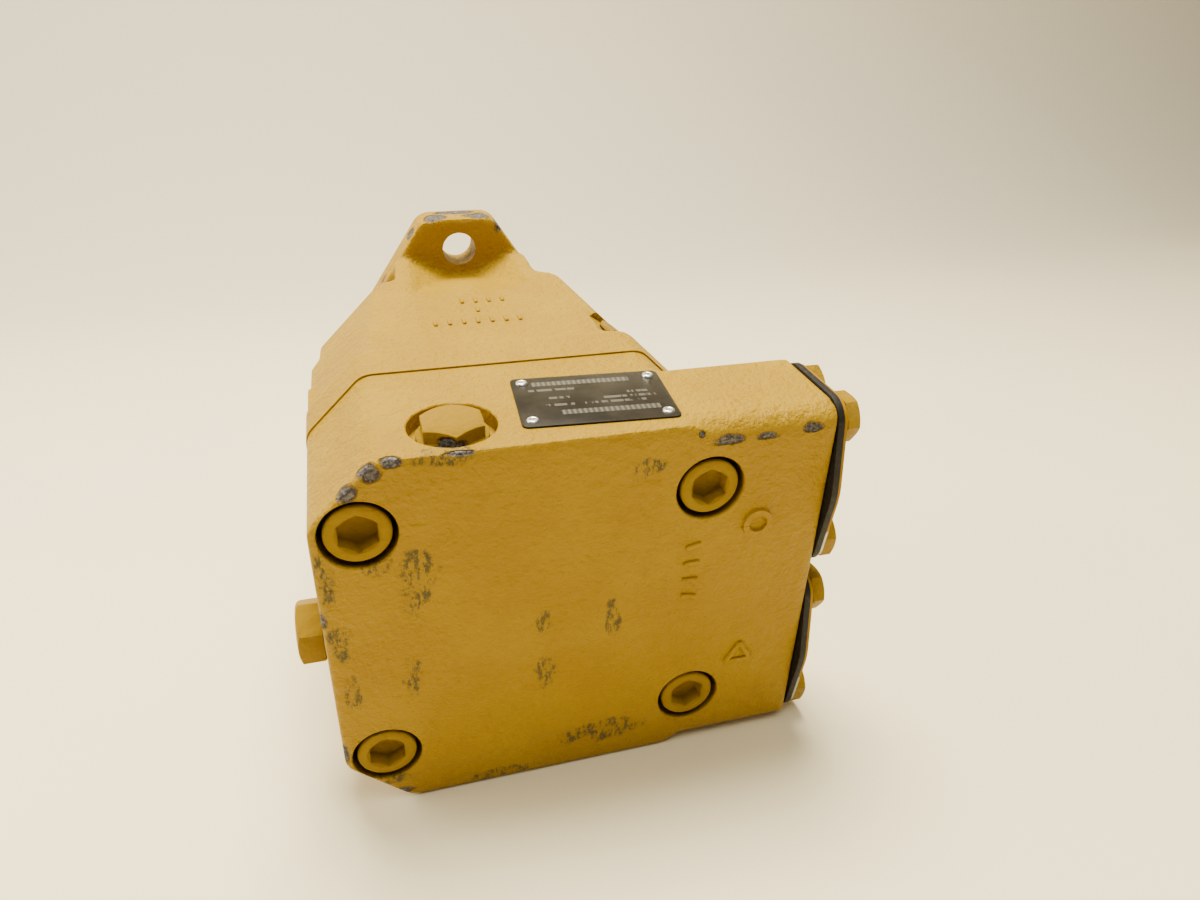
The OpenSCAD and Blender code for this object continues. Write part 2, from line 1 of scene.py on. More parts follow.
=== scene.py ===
"""Looks of the hydraulic motor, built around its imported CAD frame.

Everything is in the CAD's own frame: origin on the shaft axis in the mounting face, +Y out along the
shaft, +Z up through a mounting lug, +X towards the oil ports. Meshes are drawn in millimetres and
scaled to metres when they become objects.
"""
import math

import bmesh
import bpy
from mathutils import Matrix, Vector


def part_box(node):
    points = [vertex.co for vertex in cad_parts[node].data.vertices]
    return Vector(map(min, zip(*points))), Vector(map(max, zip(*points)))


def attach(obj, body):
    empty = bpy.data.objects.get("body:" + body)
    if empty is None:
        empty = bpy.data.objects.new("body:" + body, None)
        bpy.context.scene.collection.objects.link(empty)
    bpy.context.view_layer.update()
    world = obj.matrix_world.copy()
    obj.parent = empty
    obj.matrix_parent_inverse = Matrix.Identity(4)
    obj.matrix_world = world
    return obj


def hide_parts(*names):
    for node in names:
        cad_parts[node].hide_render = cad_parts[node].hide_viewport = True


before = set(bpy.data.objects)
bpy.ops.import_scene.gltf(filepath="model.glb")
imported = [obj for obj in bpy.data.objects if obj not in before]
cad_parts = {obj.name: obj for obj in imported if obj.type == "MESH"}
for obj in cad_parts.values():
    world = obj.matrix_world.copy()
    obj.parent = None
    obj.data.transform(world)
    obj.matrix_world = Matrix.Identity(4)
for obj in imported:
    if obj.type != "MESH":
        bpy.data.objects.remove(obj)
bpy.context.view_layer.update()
MM = 0.001
SQRT3 = math.sqrt(3)

# ---------- sizes, in millimetres ----------

port_low, port_high = (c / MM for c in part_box("port_plate"))
house_low, house_high = (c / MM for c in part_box("housing"))
REAR_Y = port_low.y
PLATE_Y = port_high.y
HOUSING_Y = house_low.y
PORT_FACE_X = port_high.x
CASE_X = -port_low.x
CASE_Z = port_high.z
LUG_TOP = house_high.z
PILOT_LEN = house_high.y
PILOT_R = 63.5
FLANGE_R = 75
FLANGE_T = 17.5
LUG_HOLE_Z = 90.5
LUG_HOLE_R = 8.75
LUG_CORNER_X = 13.5
LUG_CORNER_R = 10
CORNER, CORNER_R = 24.6, 9
REAR_FLANGE = 23
SIDE_INSET = 1
BLOCK_DEPTH = 50
SCREW_X, SCREW_Z = 66, 55.4
COUNTERBORE_R, COUNTERBORE_DEPTH = 14, 16.8
SCREW_TOP = REAR_Y + COUNTERBORE_DEPTH - 16
TOP_PLUG = Vector((-29, REAR_Y + 21, CASE_Z))
SPOTFACE_R, SPOTFACE_DEPTH = 16.5, 6.5
SIDE_PLUG = Vector((-CASE_X, REAR_Y + 34, -12))
DRAIN = Vector((60, REAR_Y + 105, 73))
DRAIN_TILT = math.radians(41)
PORT_Y = REAR_Y + 25.5
PORT_Z = {-1: -42.3, 1: 45.3}
GASKET_X, COVER_X = 2.8, 1.6
BOLT_Y, BOLT_Z = 27.76 / 2, 57.15 / 2
NAMEPLATE = Vector((26.3, REAR_Y + 29.4, CASE_Z))
NAMEPLATE_TURN = math.radians(-3.9)
CAVITY_R, FRONT_WALL_Y = 64, -44
SEAL_R = 28
POCKET_X, POCKET_Y = 32, -65
VOXEL = 1.4

# ---------- mesh tools ----------

AXES = {"x": lambda u, v, w: (w, u, v), "y": lambda u, v, w: (u, w, v), "z": lambda u, v, w: (u, v, w)}


def spin(degrees, axis):
    """A turn about X, Y or Z."""
    return Matrix.Rotation(math.radians(degrees), 4, axis)


def mirrored(side):
    """A closed outline from its right half, given from one end to the other."""
    return side + [(-x, y) for x, y in side[::-1]]


def circle(r, centre=(0, 0), segments=72, start=0.0):
    """Points of a circle, anticlockwise."""
    return [(centre[0] + r * math.cos(start + 2 * math.pi * k / segments),
             centre[1] + r * math.sin(start + 2 * math.pi * k / segments)) for k in range(segments)]


def prism(outline, low, high, axis="z"):
    """A flat outline carried along an axis, as a bmesh in millimetres."""
    bm = bmesh.new()
    place = AXES[axis]
    rings = [[bm.verts.new(place(u, v, w)) for u, v in outline] for w in (low, high)]
    n = len(outline)
    faces = [bm.faces.new(rings[0][::-1]), bm.faces.new(rings[1])]
    for k in range(n):
        m = (k + 1) % n
        faces.append(bm.faces.new((rings[0][k], rings[0][m], rings[1][m], rings[1][k])))
    bmesh.ops.recalc_face_normals(bm, faces=faces)
    return bm


def lathe(profile, axis="y", centre=(0, 0), segments=96):
    """A closed outline of (radius, distance along the axis), turned about that axis."""
    bm = bmesh.new()
    place = AXES[axis]
    rings = []
    for r, w in profile:
        if r < 1e-6:
            rings.append([bm.verts.new(place(centre[0], centre[1], w))] * segments)
        else:
            rings.append([bm.verts.new(place(u, v, w)) for u, v in circle(r, centre, segments)])
    faces = []
    for a, b in zip(rings, rings[1:] + rings[:1]):
        for k in range(segments):
            m = (k + 1) % segments
            corners = list(dict.fromkeys((a[k], a[m], b[m], b[k])))
            if len(corners) > 2:
                faces.append(bm.faces.new(corners))
    bmesh.ops.recalc_face_normals(bm, faces=faces)
    return bm


def hull_outline(circles, segments=48):
    """Outline of the convex hull of some circles, each (x, y, r)."""
    points = sorted({(round(u, 6), round(v, 6)) for x, y, r in circles
                     for u, v in circle(r, (x, y), segments)})

    def half(ordered):
        chain = []
        for p in ordered:
            while len(chain) > 1 and ((chain[-1][0] - chain[-2][0]) * (p[1] - chain[-2][1])
                                      - (chain[-1][1] - chain[-2][1]) * (p[0] - chain[-2][0])) <= 1e-9:
                chain.pop()
            chain.append(p)
        return chain[:-1]

    return half(points) + half(points[::-1])


def to_object(bm, name, place=None):
    """Turns a bmesh in millimetres into an object in metres."""
    mesh = bpy.data.meshes.new(name)
    if place is not None:
        bm.transform(place)
    bm.transform(Matrix.Scale(MM, 4))
    bm.to_mesh(mesh)
    bm.free()
    obj = bpy.data.objects.new(name, mesh)
    bpy.context.scene.collection.objects.link(obj)
    return obj


def settle(obj):
    """Applies every modifier of obj."""
    bpy.context.view_layer.update()
    graph = bpy.context.evaluated_depsgraph_get()
    mesh = bpy.data.meshes.new_from_object(obj.evaluated_get(graph))
    obj.modifiers.clear()
    old = obj.data
    obj.data = mesh
    bpy.data.meshes.remove(old)
    return obj


def modify(obj, kind, **settings):
    """Adds a modifier to obj."""
    modifier = obj.modifiers.new(kind.lower(), kind)
    for key, value in settings.items():
        setattr(modifier, key, value)
    return obj


def combine(obj, tool, operation="DIFFERENCE"):
    """Cuts obj with a tool given as a bmesh or an object, or joins or intersects the two."""
    other = tool if isinstance(tool, bpy.types.Object) else to_object(tool, "tool")
    modify(obj, "BOOLEAN", operation=operation, solver="MANIFOLD", object=other)
    settle(obj)
    bpy.data.objects.remove(other)
    return obj


def smooth_shading(obj, angle=38):
    """Smooth faces with sharp edges where the surface turns by more than angle."""
    obj.data.polygons.foreach_set("use_smooth", [True] * len(obj.data.polygons))
    obj.data.set_sharp_from_angle(angle=math.radians(angle))
    return obj


def soften(obj, width, segments=3, angle=35):
    """Rounds obj's sharp edges by width millimetres."""
    modify(obj, "BEVEL", width=width * MM, segments=segments, limit_method="ANGLE",
           angle_limit=math.radians(angle), use_clamp_overlap=True)
    return smooth_shading(settle(obj), 50)


def cast(obj, rounding):
    """Gives a rough blank the rounded edges and corners of a casting."""
    modify(obj, "REMESH", mode="VOXEL", voxel_size=VOXEL * MM)
    settle(obj)
    steps = max(1, round(1.6 * (rounding / VOXEL) ** 2))
    modify(obj, "SMOOTH", factor=0.5, iterations=steps)
    return settle(obj)


def piece(obj, slot, material, *nodes, body="motor_case"):
    """Dresses obj, sets it on its body, and hides the CAD parts it stands for."""
    obj.data.materials.clear()
    obj.data.materials.append(material)
    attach(obj, body)
    if nodes:
        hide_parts(*nodes)
    return obj


# ---------- shader tools ----------


class Shader:
    """Builds one material's node tree with short calls."""

    def __init__(self, name):
        self.material = bpy.data.materials.new(name)
        self.material.use_nodes = True
        self.tree = self.material.node_tree
        self.bsdf = self.tree.nodes["Principled BSDF"]
        self.place = self.add("ShaderNodeTexCoord").outputs["Object"]

    def add(self, kind, inputs=None, **settings):
        node = self.tree.nodes.new(kind)
        for key, value in settings.items():
            setattr(node, key, value)
        for key, value in (inputs or {}).items():
            self.feed(node.inputs[key], value)
        return node

    def feed(self, socket, value):
        if isinstance(value, bpy.types.NodeSocket):
            self.tree.links.new(value, socket)
        else:
            socket.default_value = value

    def math(self, operation, *values, clamp=False):
        node = self.add("ShaderNodeMath", operation=operation, use_clamp=clamp)
        for socket, value in zip(node.inputs, values):
            self.feed(socket, value)
        return node.outputs[0]

    def vector(self, operation, *values):
        node = self.add("ShaderNodeVectorMath", operation=operation)
        for socket, value in zip(node.inputs, values):
            self.feed(socket, value)
        return node.outputs["Value" if operation in ("LENGTH", "DISTANCE") else "Vector"]

    def noise(self, size, detail=4.0, rough=0.55, stretch=None, seed=0.0):
        """Noise from 0 to 1 with features about size millimetres across."""
        where = self.vector("ADD", self.place, (seed, seed * 0.7, seed * 1.3))
        if stretch:
            where = self.vector("MULTIPLY", where, stretch)
        node = self.add("ShaderNodeTexNoise", {"Vector": where, "Scale": 1 / (size * MM), "Detail": detail,
                                               "Roughness": rough})
        return node.outputs["Fac"]

    def ramp(self, value, low, high):
        """0 below low, 1 above high, smooth between; low may be above high."""
        node = self.add("ShaderNodeMapRange", {"Value": value, "From Min": low, "From Max": high},
                        interpolation_type="SMOOTHSTEP")
        return node.outputs["Result"]

    def mix(self, factor, first, second):
        node = self.add("ShaderNodeMix", data_type="RGBA")
        self.feed(node.inputs[0], factor)
        self.feed(node.inputs[6], first)
        self.feed(node.inputs[7], second)
        return node.outputs[2]

    def near(self, centre, radii, seed=0.0, grain=6, ragged=0.5):
        """A ragged patch about a place in millimetres: 1 in its middle and 0 outside it."""
        offset = self.vector("SUBTRACT", self.place, tuple(c * MM for c in centre))
        scaled = self.vector("DIVIDE", offset, tuple(r * MM for r in radii))
        reach = self.math("SUBTRACT", 1.0, self.vector("LENGTH", scaled))
        wave = self.math("MULTIPLY_ADD", self.noise(grain, 5, 0.6, seed=seed), 2 * ragged, -ragged)
        return self.ramp(self.math("ADD", reach, wave), 0.15, 0.45)

    def most(self, values):
        result = values[0]
        for value in values[1:]:
            result = self.math("MAXIMUM", result, value)
        return result

    def bump(self, height, strength, distance_mm, under=None):
        inputs = {"Height": height, "Strength": strength, "Distance": distance_mm * MM}
        if under is not None:
            inputs["Normal"] = under
        return self.add("ShaderNodeBump", inputs).outputs["Normal"]

    def finish(self, **inputs):
        for key, value in inputs.items():
            self.feed(self.bsdf.inputs[key.replace("_", " ")], value)
        return self.material


YELLOW = (0.32, 0.180, 0.0, 1)
YELLOW_PALE = (0.345, 0.202, 0.001, 1)
YELLOW_DEEP = (0.26, 0.128, 0.0, 1)
BROWN = (0.035, 0.018, 0.008, 1)
PRIMER = (0.045, 0.037, 0.033, 1)
BARE = (0.16, 0.145, 0.14, 1)


def paint(name, grain=1.5, chips=(), smears=(), painted_shade=None):
    """Yellow enamel over cast iron. chips bare the iron on edges; smears are thin dirt.
    Each is a list of (centre, radii) in millimetres."""
    s = Shader(name)
    tone = s.mix(s.ramp(s.noise(38, 5, 0.6), 0.35, 0.68), YELLOW, YELLOW_PALE)
    blotch = s.ramp(s.noise(9, 6, 0.7, seed=3.0), 0.52, 0.75)
    tone = s.mix(s.math("MULTIPLY", blotch, 0.35), tone, YELLOW_DEEP)
    speck = s.math("MULTIPLY", s.ramp(s.noise(1.6, 3, 0.6, seed=7.0), 0.70, 0.76), 0.5)
    tone = s.mix(s.math("MULTIPLY", speck, s.ramp(s.noise(30, 3, 0.5, seed=8.0), 0.5, 0.62)), tone, BROWN)
    if smears:
        dirt = s.most([s.near(c, r, seed=k * 1.7, grain=9, ragged=0.95) for k, (c, r) in enumerate(smears)])
        broken = s.ramp(s.noise(2.4, 7, 0.8, stretch=(1, 1, 0.4), seed=11.0), 0.47, 0.56)
        dirt = s.math("MULTIPLY", dirt, s.math("MULTIPLY_ADD", broken, 0.8, 0.05))
        tone = s.mix(dirt, tone, (0.045, 0.045, 0.022, 1))
    bare = None
    if chips:
        bare = s.most([s.near(c, r, seed=20 + k * 1.3, grain=6, ragged=0.6)
                       for k, (c, r) in enumerate(chips)])
    # Painted shade: the mask given by this argument darkens recesses to brown.
    if painted_shade is not None:
        tone = s.mix(painted_shade(s), tone, BROWN)
    fine = s.noise(grain, 3, 0.6, seed=5.0)
    coarse = s.noise(4.5, 4, 0.6, seed=6.0)
    surface = s.math("ADD", s.math("MULTIPLY", fine, 0.3), s.math("MULTIPLY", coarse, 0.7))
    rough = s.math("MULTIPLY_ADD", s.noise(14, 4, 0.6, seed=9.0), 0.18, 0.33)
    metal = 0.0
    if bare is not None:
        iron = s.mix(s.ramp(s.noise(1.3, 4, 0.7, seed=13.0), 0.4, 0.65), PRIMER, BARE)
        tone = s.mix(bare, tone, iron)
        surface = s.math("SUBTRACT", surface, s.math("MULTIPLY", bare, 0.9))
        rough = s.math("ADD", rough, s.math("MULTIPLY", bare, 0.1))
        metal = s.math("MULTIPLY", bare, 0.55)
    return s.finish(Base_Color=tone, Roughness=rough, Metallic=metal, Specular_IOR_Level=0.14,
                    Normal=s.bump(surface, 0.9, 3.0))


def radial(s, x, z):
    """Distance in metres from the four lines parallel to Y at (+-x, +-z) millimetres."""
    split = s.add("ShaderNodeSeparateXYZ", {"Vector": s.place})
    dx = s.math("SUBTRACT", s.math("ABSOLUTE", split.outputs["X"]), x * MM)
    dz = s.math("SUBTRACT", s.math("ABSOLUTE", split.outputs["Z"]), z * MM)
    return s.math("SQRT", s.math("ADD", s.math("MULTIPLY", dx, dx), s.math("MULTIPLY", dz, dz)))


def counterbore_painted_shade(s):
    """Painted shade on the walls of the screws' counterbores: brown, stronger further in."""
    split = s.add("ShaderNodeSeparateXYZ", {"Vector": s.place})
    inside = s.ramp(radial(s, SCREW_X, SCREW_Z), (COUNTERBORE_R + 0.3) * MM, (COUNTERBORE_R + 0.05) * MM)
    deep = s.ramp(split.outputs["Y"], (REAR_Y + 0.5) * MM, (REAR_Y + 2.5) * MM)
    return s.math("MULTIPLY", inside, s.math("MULTIPLY_ADD", deep, 0.55, 0.25))


def socket_painted_shade(s):
    """Painted shade in brown deep inside the screws' hexagon sockets and round the sides of their heads."""
    split = s.add("ShaderNodeSeparateXYZ", {"Vector": s.place})
    distance = radial(s, SCREW_X, SCREW_Z)
    deep = s.ramp(split.outputs["Y"], (SCREW_TOP + 4) * MM, (SCREW_TOP + 10) * MM)
    inside = s.math("MULTIPLY", s.ramp(distance, 8.6 * MM, 8.2 * MM), s.math("MULTIPLY", deep, 0.12))
    rim = s.ramp(split.outputs["Y"], (SCREW_TOP + 0.7) * MM, (SCREW_TOP + 1.8) * MM)
    outside = s.math("MULTIPLY", s.ramp(distance, 11.6 * MM, 11.95 * MM), rim)
    return s.math("MAXIMUM", inside, outside)


def metal(name, colour, rough, grain=0.25, turned=False, stain=0.25, metallic=1.0):
    """Machined or ground metal with fine tool marks and faint stains."""
    s = Shader(name)
    lines = s.noise(grain, 3, 0.6, stretch=(0.15, 1.0, 0.15) if turned else (1.0, 0.2, 0.6), seed=2.0)
    cloud = s.ramp(s.noise(9, 5, 0.65, seed=4.0), 0.45, 0.75)
    dark = tuple(c * 0.45 for c in colour[:3]) + (1,)
    tone = s.mix(s.math("MULTIPLY", cloud, stain), colour, dark)
    gloss = s.math("MULTIPLY_ADD", s.noise(5, 4, 0.6, seed=6.0), 0.2, rough - 0.1)
    return s.finish(Base_Color=tone, Metallic=metallic, Roughness=gloss, Normal=s.bump(lines, 0.25, 0.04))


def rubber(name, colour=(0.010, 0.009, 0.009, 1), rough=0.55):
    """Moulded black rubber, dusty in places."""
    s = Shader(name)
    dust = s.math("MULTIPLY", s.ramp(s.noise(2.5, 5, 0.7, seed=1.0), 0.5, 0.72), 0.15)
    tone = s.mix(dust, colour, (0.16, 0.13, 0.09, 1))
    gloss = s.math("MULTIPLY_ADD", s.noise(3, 3, 0.5, seed=2.0), 0.25, rough - 0.15)
    return s.finish(Base_Color=tone, Roughness=gloss, Specular_IOR_Level=0.2,
                    Normal=s.bump(s.noise(0.6, 4, 0.6, seed=3.0), 0.5, 0.12))


def cover_paint():
    """Painted sheet steel whose cut edge is bare along the lower half of each cover."""
    s = Shader("cover_plate_paint")
    facing = s.math("ABSOLUTE", s.add("ShaderNodeSeparateXYZ", {
        "Vector": s.add("ShaderNodeNewGeometry").outputs["True Normal"]}).outputs["X"])
    edge = s.ramp(facing, 0.75, 0.55)
    height = s.add("ShaderNodeSeparateXYZ", {"Vector": s.place}).outputs["Z"]
    ragged = s.math("MULTIPLY_ADD", s.noise(9, 4, 0.6, seed=3.0), 16 * MM, -8 * MM)
    height = s.math("ADD", height, ragged)
    bare = s.most([s.math("MULTIPLY", s.ramp(height, (low - 1) * MM, (low + 1) * MM),
                          s.ramp(height, (low + 27) * MM, (low + 25) * MM)) for low in (-84, 0)])
    edge = s.math("MULTIPLY", edge, bare)
    tone = s.mix(s.ramp(s.noise(20, 5, 0.6), 0.35, 0.7), YELLOW, YELLOW_DEEP)
    tone = s.mix(edge, tone, (0.40, 0.385, 0.35, 1))
    return s.finish(Base_Color=tone, Metallic=s.math("MULTIPLY", edge, 0.7), Specular_IOR_Level=0.12,
                    Roughness=s.math("MULTIPLY_ADD", s.noise(6, 4, 0.6, seed=5.0), 0.2, 0.3),
                    Normal=s.bump(s.noise(1.5, 4, 0.6, seed=6.0), 0.4, 0.15))


def nameplate_foil():
    """Dark printed foil: two pale hatched bars and rows of plain dashes, with no lettering."""
    s = Shader("nameplate_foil")
    turned = s.add("ShaderNodeVectorRotate", {"Vector": s.vector("SUBTRACT", s.place, tuple(NAMEPLATE * MM)),
                                              "Angle": -NAMEPLATE_TURN}, rotation_type="Z_AXIS")
    split = s.add("ShaderNodeSeparateXYZ", {"Vector": turned.outputs["Vector"]})
    across, along = split.outputs["X"], split.outputs["Y"]

    def band(value, low, high):
        return s.math("MULTIPLY", s.ramp(value, (low - 0.1) * MM, (low + 0.1) * MM),
                      s.ramp(value, (high + 0.1) * MM, (high - 0.1) * MM))

    def box(x0, x1, y0, y1):
        return s.math("MULTIPLY", band(across, x0, x1), band(along, y0, y1))

    hatch = s.add("ShaderNodeTexWave",
                  {"Vector": turned.outputs["Vector"], "Scale": 155.0, "Distortion": 0.0},
                  wave_type="BANDS", bands_direction="X").outputs["Fac"]
    hatch = s.math("MULTIPLY_ADD", s.ramp(hatch, 0.35, 0.6), 0.55, 0.3)
    bars = s.math("MULTIPLY", s.math("MAXIMUM", box(-14, 24, -12.3, -8.8), box(-22, 17, 12.2, 15.6)), hatch)
    dashes = s.most([box(x0, x1, y, y + 1.7) for x0, x1, y in (
        (-4, 20, -5.2), (4, 25, -1.6), (14, 25, 2.0), (-19, -8, -5.2), (-17, -9, 0.6), (-24, -6, 7.6))])
    dashes = s.math("MULTIPLY", dashes, s.ramp(s.noise(1.6, 1, 0.5, stretch=(1, 0.2, 1), seed=9.0), 0.4, 0.5))
    print_mask = s.math("MAXIMUM", bars, s.math("MULTIPLY", dashes, 0.7))
    ground = s.mix(s.ramp(s.noise(16, 5, 0.6), 0.35, 0.7), (0.016, 0.013, 0.009, 1), (0.030, 0.025, 0.018, 1))
    tone = s.mix(print_mask, ground, (0.13, 0.12, 0.10, 1))
    gloss = s.math("MULTIPLY_ADD", s.noise(5, 4), 0.1, 0.25)
    return s.finish(Base_Color=tone, Specular_IOR_Level=0.06, Roughness=gloss,
                    Normal=s.bump(s.noise(10, 3, 0.5, seed=4.0), 0.3, 0.25))


# Places where the paint is worn or dirty on the rear face and its edges
CHIPS = [
    ((-68, REAR_Y, 73), (6, 5, 6)), ((-60, REAR_Y + 1, 80), (6, 5, 4.5)), ((-52, REAR_Y + 1, 83), (5, 4, 3)),
    ((-30, REAR_Y, 84), (9, 3, 2)), ((72, REAR_Y + 1, 76), (8, 4, 3)), ((87, REAR_Y + 1, 76), (7, 4, 2.5)),
    ((106, REAR_Y + 1, 77), (6, 5, 3)), ((60, REAR_Y, 80), (2, 3, 2)), ((-83, REAR_Y, -50), (3, 3, 8)),
    ((-62, REAR_Y, -79), (7, 3, 3)), ((-83, REAR_Y + 1, 20), (3, 3, 5)),
]
SMEARS = [
    ((-47, REAR_Y, 30), (9, 4, 20)), ((-79, REAR_Y, 38), (5, 4, 20)), ((-77, REAR_Y, 8), (5, 4, 12)),
    ((-76, REAR_Y, -18), (4, 4, 12)), ((-52, REAR_Y, -16), (5, 4, 15)), ((0, REAR_Y, 2), (5, 4, 9)),
    ((1, REAR_Y, -24), (6, 4, 10)), ((29, REAR_Y, -2), (4, 4, 16)), ((25, REAR_Y, -66), (28, 4, 8)),
    ((-60, REAR_Y, 42), (7, 4, 8)), ((-66, REAR_Y, -70), (12, 4, 6)), ((40, REAR_Y, 68), (10, 4, 5)),
    ((-34, REAR_Y + 2, 82), (16, 6, 4)), ((-20, REAR_Y, -80), (20, 5, 4)),
]
LUG_CHIPS = [((-12, -12, 106.5), (9, 7, 3)), ((12, -12, 106.5), (10, 7, 3)), ((0, -4, 106.5), (14, 4, 3)),
             ((-24, -10, 96), (4, 8, 7)), ((22, -14, 101), (5, 6, 5)), ((-40, -10, 66), (4, 7, 12))]

# The casting paint carries painted shade in the counterbores, and the screw paint carries it in the sockets.
casting_paint = paint("casting_paint", chips=CHIPS, smears=SMEARS, painted_shade=counterbore_painted_shade)
housing_paint = paint("housing_paint", chips=LUG_CHIPS, smears=[((-75, -100, 40), (6, 30, 30))])
fastener_paint = paint("fastener_paint", grain=0.35, chips=[((-32, REAR_Y + 10, 82), (9, 3, 4))])
screw_paint = paint("screw_paint", grain=0.35, painted_shade=socket_painted_shade)
cover_plate_paint = cover_paint()
gasket_rubber = rubber("gasket_rubber")
seal_rubber = rubber("seal_rubber", (0.05, 0.022, 0.012, 1), 0.4)
foil = nameplate_foil()
rivet_steel = metal("rivet_steel", (0.78, 0.77, 0.74, 1), 0.3)
shaft_steel = metal("shaft_steel", (0.52, 0.51, 0.49, 1), 0.32, turned=True)
hardened_steel = metal("hardened_steel", (0.58, 0.58, 0.60, 1), 0.2, grain=0.15, turned=True)
ground_steel = metal("ground_steel", (0.50, 0.50, 0.51, 1), 0.28, turned=True)
bronze = metal("bronze", (0.62, 0.40, 0.18, 1), 0.34, turned=True)
spring_steel = metal("spring_steel", (0.14, 0.14, 0.15, 1), 0.4)

# ---------- castings ----------


def case_outline(hx, hz):
    """Rectangle with chamfered corners, rounded where each chamfer ends."""
    bend = CORNER_R * math.tan(math.radians(22.5))
    arc = []
    for k in range(5):
        a = math.radians(45 * k / 4)
        arc.append((CORNER_R * (1 - math.cos(a)), CORNER + bend - CORNER_R * math.sin(a)))
    quarter = [(hx - u, hz - v) for u, v in arc] + [(hx - v, hz - u) for u, v in arc[::-1]]
    outline = []
    for sx, sz in ((1, 1), (-1, 1), (-1, -1), (1, -1)):
        ordered = quarter if sx * sz > 0 else quarter[::-1]
        outline += [(sx * x, sz * z) for x, z in ordered]
    return outline


def rectangle(hx, hz):
    return [(hx, hz), (-hx, hz), (-hx, -hz), (hx, -hz)]


def half_space(place):
    """A block that fills the positive side of a plane, placed by a matrix in millimetres."""
    bm = prism(rectangle(120, 120), 0, 100)
    bm.transform(place)
    return bm


def round_rect(x0, x1, z0, z1, low_r, high_r, steps=8):
    """Rectangle with one corner radius at its low end and one at its high end."""
    outline = []
    corners = ((x1 - high_r, z1 - high_r, high_r, 0), (x0 + low_r, z1 - low_r, low_r, 90),
               (x0 + low_r, z0 + low_r, low_r, 180), (x1 - high_r, z0 + high_r, high_r, 270))
    for x, z, r, start in corners:
        for k in range(steps + 1):
            a = math.radians(start + 90 * k / steps)
            outline.append((x + r * math.cos(a), z + r * math.sin(a)))
    return outline


def kidney(half_angle, width, side):
    """Outline of one kidney-shaped oil slot on the piston circle."""
    outline, mid = [], 43
    for r, sign in ((mid + width / 2, 1), (mid - width / 2, -1)):
        for k in range(25):
            a = math.radians(sign * half_angle * (2 * k / 24 - 1))
            outline.append((r * math.sin(a), side * r * math.cos(a)))
    return outline


def build_port_plate():
    blank = prism(case_outline(CASE_X, CASE_Z), REAR_Y, PLATE_Y + 8, "y")
    plate = to_object(blank, "port_plate_casting")
    block_side = round_rect(REAR_Y, REAR_Y + BLOCK_DEPTH, -CASE_Z, CASE_Z, 9, 2.5)
    block_plan = round_rect(30, PORT_FACE_X, REAR_Y, REAR_Y + BLOCK_DEPTH + 1, 3, 3)
    block = to_object(prism(block_side, 40, PORT_FACE_X, "x"), "block")
    combine(block, prism(block_plan, -90, 90), "INTERSECT")
    combine(plate, block, "UNION")
    cast(plate, 3.2)
    cuts = [prism(case_outline(CASE_X + 20, CASE_Z + 20), PLATE_Y, PLATE_Y + 30, "y")]
    cuts.append(lathe([(0, REAR_Y + 20), (31, REAR_Y + 20), (31, PLATE_Y + 1), (0, PLATE_Y + 1)]))
    for side in (-1, 1):
        cuts.append(prism(kidney(52, 12, side), REAR_Y + 26, PLATE_Y + 1, "y"))
        cuts.append(prism(circle(11, (PORT_Y + 4.5, side * 29)), 34, 97, "x"))
        cuts.append(prism(circle(12.7, (PORT_Y, PORT_Z[side])), 82, PORT_FACE_X + 1, "x"))
        for sx in (-1, 1):
            at = (sx * SCREW_X, side * SCREW_Z)
            floor = REAR_Y + COUNTERBORE_DEPTH
            cuts.append(lathe([(0, REAR_Y - 2), (COUNTERBORE_R + 0.5, REAR_Y - 2),
                               (COUNTERBORE_R + 0.5, REAR_Y), (COUNTERBORE_R, REAR_Y + 0.5),
                               (COUNTERBORE_R, floor), (8.75, floor), (8.75, PLATE_Y + 1),
                               (0, PLATE_Y + 1)], centre=at))
        for y in (-BOLT_Y, BOLT_Y):
            for z in (-BOLT_Z, BOLT_Z):
                cuts.append(prism(circle(6.05, (PORT_Y + y, PORT_Z[side] + z)), PORT_FACE_X - 22,
                                  PORT_FACE_X + 1, "x"))
    top = CASE_Z - SPOTFACE_DEPTH
    cuts.append(lathe([(0, CASE_Z - 22), (9, CASE_Z - 22), (9, top), (SPOTFACE_R, top),
                       (SPOTFACE_R, CASE_Z - 0.4), (SPOTFACE_R + 0.4, CASE_Z), (SPOTFACE_R + 0.4, CASE_Z + 2),
                       (0, CASE_Z + 2)], "z", TOP_PLUG.xy[:]))
    cuts.append(prism(circle(9, (SIDE_PLUG.y, SIDE_PLUG.z)), -CASE_X - 1, -CASE_X + 18, "x"))
    for cut in cuts:
        combine(plate, cut)
    return piece(smooth_shading(plate), "casting_paint", casting_paint, "port_plate")


def flange_outline(grow=0.0):
    """The round middle and the two lugs of the mounting flange."""
    side = math.atan2(LUG_TOP - LUG_CORNER_R, LUG_CORNER_X)
    lugs = [(sx * LUG_CORNER_X, sz * (LUG_TOP - LUG_CORNER_R), LUG_CORNER_R + grow)
            for sx in (-1, 1) for sz in (-1, 1)]
    return hull_outline([(0, 0, FLANGE_R + grow)] + lugs, 96)


def wrench_pocket(side):
    """Clearance behind a lug: a floor that falls towards the lug, with two corners turned up."""
    start = Vector((0, POCKET_Y, CASE_Z))
    room = [(-80, 60), (-FLANGE_T, 60), (-FLANGE_T, 120), (-80, 120)]
    cut = to_object(prism(room, -POCKET_X, POCKET_X, "x"), "pocket")
    combine(cut, half_space(Matrix.Translation(start) @ spin(-10.5, "X")), "INTERSECT")
    for sx in (-1, 1):
        tilt = spin(-28.4 * sx, "Y") @ spin(5.28, "X")
        combine(cut, half_space(Matrix.Translation(start + Vector((POCKET_X * sx, 0, 0))) @ tilt), "INTERSECT")
    if side < 0:
        cut.data.transform(Matrix.Scale(-1, 4, (0, 0, 1)))
        cut.data.flip_normals()
    return cut


